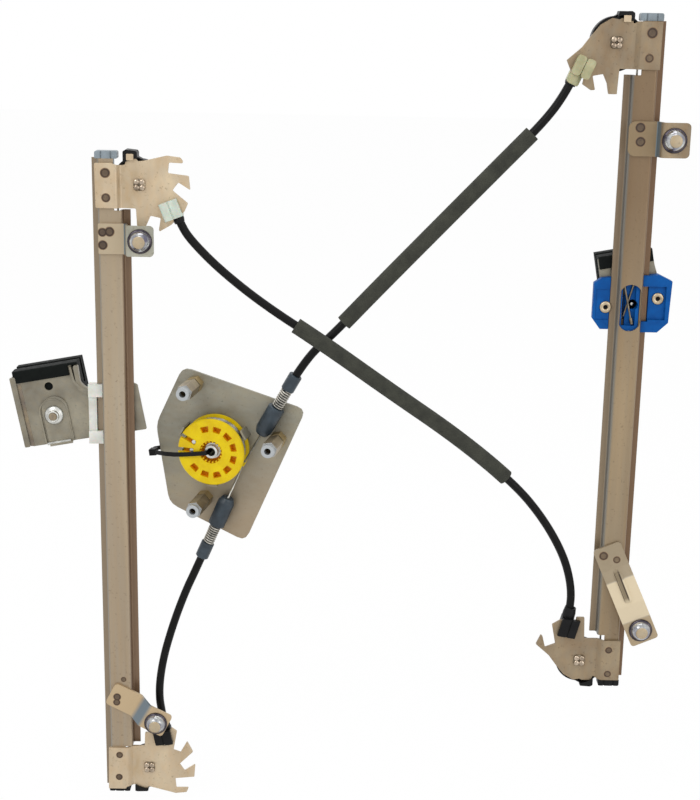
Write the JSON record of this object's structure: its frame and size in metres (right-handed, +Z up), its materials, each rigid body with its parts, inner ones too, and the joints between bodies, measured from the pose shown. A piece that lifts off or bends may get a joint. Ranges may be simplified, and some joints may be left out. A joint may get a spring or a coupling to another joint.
{
  "type": "window regulator",
  "caption": "Twin-rail cable window regulator: hat-section rails with pulleys, crossed sheathed cables, a grooved drum on a motor plate, and sliding carriers that clamp the door glass",
  "frame": {"origin": "on the axis of the cable drum, in the front face of the motor plate", "axes": "+Z up along the rails, +X along the door to the taller-standing right rail, +Y from the viewer towards the glass"},
  "size_m": [0.4988, 0.0654, 0.619],
  "materials": {
    "passivated_steel": "yellow zinc passivated",
    "plate_steel": "grey zinc",
    "bright_steel": "bright",
    "spacer_steel": "turned and passivated",
    "cable_steel": "stranded",
    "drum_plastic": "moulded",
    "black_plastic": "moulded",
    "pale_plastic": "moulded",
    "green_plastic": "moulded",
    "nylon": "moulded",
    "blue_plastic": "moulded",
    "grey_blue_plastic": "moulded",
    "sheath_plastic": "extruded",
    "foam": "foam sleeve",
    "rubber": "moulded"
  },
  "bodies": {
    "rails_and_plate": {"crossover_sheath": "sheath_plastic", "crossover_wire": "cable_steel", "foam_sleeves": "foam", "hub_axle": "bright_steel", "hub_tie": "black_plastic", "left_lower_cable_fitting": "black_plastic", "left_lower_end_bracket": "passivated_steel", "left_lower_mount_bracket": "passivated_steel", "left_lower_pulley_cover": "black_plastic", "left_rail": "passivated_steel", "left_upper_cable_fitting": "pale_plastic", "left_upper_end_bracket": "passivated_steel", "left_upper_mount_bracket": "passivated_steel", "left_upper_pulley_cover": "black_plastic", "lower_end_stops": "black_plastic", "lower_sheath": "sheath_plastic", "lower_wire": "cable_steel", "motor_plate": "plate_steel", "mount_studs": "passivated_steel", "plate_spacers": "spacer_steel", "pulley_pins": "bright_steel", "right_lower_cable_fitting": "black_plastic", "right_lower_end_bracket": "passivated_steel", "right_lower_mount_bracket": "passivated_steel", "right_lower_pulley_cover": "black_plastic", "right_rail": "passivated_steel", "right_upper_cable_fitting": "green_plastic", "right_upper_end_bracket": "passivated_steel", "right_upper_mount_bracket": "passivated_steel", "right_upper_pulley_cover": "black_plastic", "sheath_ferrules": "black_plastic", "tensioner_bodies": "grey_blue_plastic", "tensioner_collars": "grey_blue_plastic", "tensioner_springs": "bright_steel", "upper_end_stops": "pale_plastic", "upper_sheath": "sheath_plastic", "upper_wire": "cable_steel"},
    "drum": {"cable_drum": "drum_plastic", "drum_windings": "cable_steel", "drum_cable_ends": "bright_steel"},
    "left_carrier": {"left_carrier_plate": "passivated_steel", "left_clamp_bolt": "passivated_steel", "left_clamp_jaw": "passivated_steel", "left_clamp_nut": "passivated_steel", "left_glass_grip": "rubber", "left_slider": "nylon", "left_wire_nipples": "bright_steel"},
    "right_carrier": {"crossed_cable_ends": "cable_steel", "right_carrier_plate": "passivated_steel", "right_clamp_bolt": "passivated_steel", "right_clamp_jaw": "passivated_steel", "right_clamp_nut": "passivated_steel", "right_glass_grip": "rubber", "right_slider": "blue_plastic", "right_slider_rivets": "bright_steel", "right_wire_nipples": "bright_steel"},
    "left_lower_pulley_wheel": {"left_lower_pulley": "nylon"},
    "left_upper_pulley_wheel": {"left_upper_pulley": "nylon"},
    "right_lower_pulley_wheel": {"right_lower_pulley": "nylon"},
    "right_upper_pulley_wheel": {"right_upper_pulley": "nylon"}
  },
  "joints": [
    {"name": "left_carrier_slide", "type": "slide", "parent": "rails_and_plate", "child": "left_carrier", "axis": [0, 0, 1], "range_m": [-0.225, 0.125]},
    {"name": "right_carrier_slide", "type": "slide", "parent": "rails_and_plate", "child": "right_carrier", "axis": [0, 0, 1], "range_m": [-0.225, 0.125]},
    {"name": "drum_turn", "type": "hinge", "parent": "rails_and_plate", "child": "drum", "pos_m": [0, 0, 0], "axis": [0.1822, 0.9833, 0], "range_deg": [-560, 312]},
    {"name": "left_lower_pulley_turn", "type": "hinge", "parent": "rails_and_plate", "child": "left_lower_pulley_wheel", "pos_m": [-0.0539, -0.0132, -0.2644], "axis": [0, 1, 0], "range_deg": [-785, 440]},
    {"name": "left_upper_pulley_turn", "type": "hinge", "parent": "rails_and_plate", "child": "left_upper_pulley_wheel", "pos_m": [-0.0539, -0.0132, 0.2014], "axis": [0, 1, 0], "range_deg": [-785, 440]},
    {"name": "right_lower_pulley_turn", "type": "hinge", "parent": "rails_and_plate", "child": "right_lower_pulley_wheel", "pos_m": [0.2854, -0.0132, -0.1648], "axis": [0, 1, 0], "range_deg": [-440, 785]},
    {"name": "right_upper_pulley_turn", "type": "hinge", "parent": "rails_and_plate", "child": "right_upper_pulley_wheel", "pos_m": [0.2854, -0.0132, 0.3078], "axis": [0, 1, 0], "range_deg": [-440, 785]}
  ],
  "couplings": [
    {"joint": "right_carrier_slide", "follows": "left_carrier_slide", "ratio": 1},
    {"joint": "drum_turn", "follows": "left_carrier_slide", "rad_per_m": 42.919},
    {"joint": "left_lower_pulley_turn", "follows": "left_carrier_slide", "rad_per_m": 60.241},
    {"joint": "left_upper_pulley_turn", "follows": "left_carrier_slide", "rad_per_m": 60.241},
    {"joint": "right_lower_pulley_turn", "follows": "left_carrier_slide", "rad_per_m": -60.241},
    {"joint": "right_upper_pulley_turn", "follows": "left_carrier_slide", "rad_per_m": -60.241}
  ]
}
